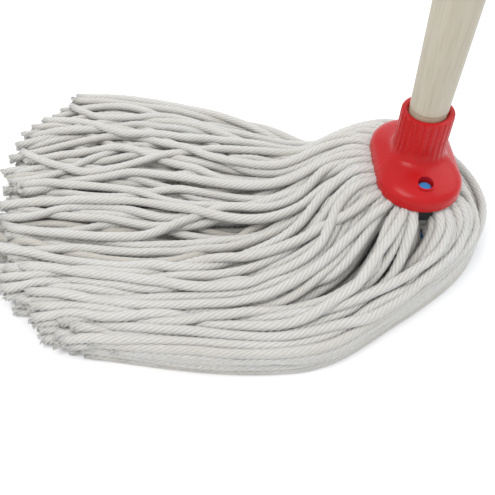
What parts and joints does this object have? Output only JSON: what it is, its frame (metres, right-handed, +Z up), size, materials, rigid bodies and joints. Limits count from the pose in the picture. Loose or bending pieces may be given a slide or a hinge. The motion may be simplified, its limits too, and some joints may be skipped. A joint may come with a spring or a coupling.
{
  "type": "string mop",
  "caption": "String mop: tapered wooden pole in a red oblong socket with a fluted collar, which clamps a sewn bundle of twisted cotton yarn swept to one side.",
  "frame": {"origin": "on the floor, under the pole's axis", "axes": "+Z up along the pole; -X is the way the yarn is swept; Y is the long way of the socket"},
  "size_m": [0.3387, 0.2561, 1.262],
  "materials": {
    "wood_pole": "smooth sanded pale wood, unvarnished",
    "red_plastic": "glossy moulded",
    "blue_plastic": "glossy moulded",
    "black_tape": "woven polyester tape",
    "cotton_yarn": "matt, twisted from four plies, slightly fuzzy"
  },
  "bodies": {
    "pole": {"pole": "wood_pole"},
    "head": {"socket_shell": "red_plastic", "clamp_plate": "blue_plastic", "centre_tape": "black_tape", "yarn_core": "cotton_yarn", "yarn_under": "cotton_yarn", "yarn_lock_lower_01": "cotton_yarn", "yarn_lock_lower_02": "cotton_yarn", "yarn_lock_lower_03": "cotton_yarn", "yarn_lock_lower_04": "cotton_yarn", "yarn_lock_lower_05": "cotton_yarn", "yarn_lock_lower_06": "cotton_yarn", "yarn_lock_lower_07": "cotton_yarn", "yarn_lock_lower_08": "cotton_yarn", "yarn_lock_lower_09": "cotton_yarn", "yarn_lock_lower_10": "cotton_yarn", "yarn_lock_lower_11": "cotton_yarn", "yarn_lock_upper_01": "cotton_yarn", "yarn_lock_upper_02": "cotton_yarn", "yarn_lock_upper_03": "cotton_yarn", "yarn_lock_upper_04": "cotton_yarn", "yarn_lock_upper_05": "cotton_yarn", "yarn_lock_upper_06": "cotton_yarn", "yarn_lock_upper_07": "cotton_yarn", "yarn_lock_upper_08": "cotton_yarn", "yarn_lock_upper_09": "cotton_yarn", "yarn_lock_upper_10": "cotton_yarn", "yarn_lock_upper_11": "cotton_yarn"}
  },
  "joints": [
    {"name": "head_push_fit", "type": "slide", "parent": "pole", "child": "head", "axis": [0, 0, -1], "range_m": [0, 0.045]}
  ]
}
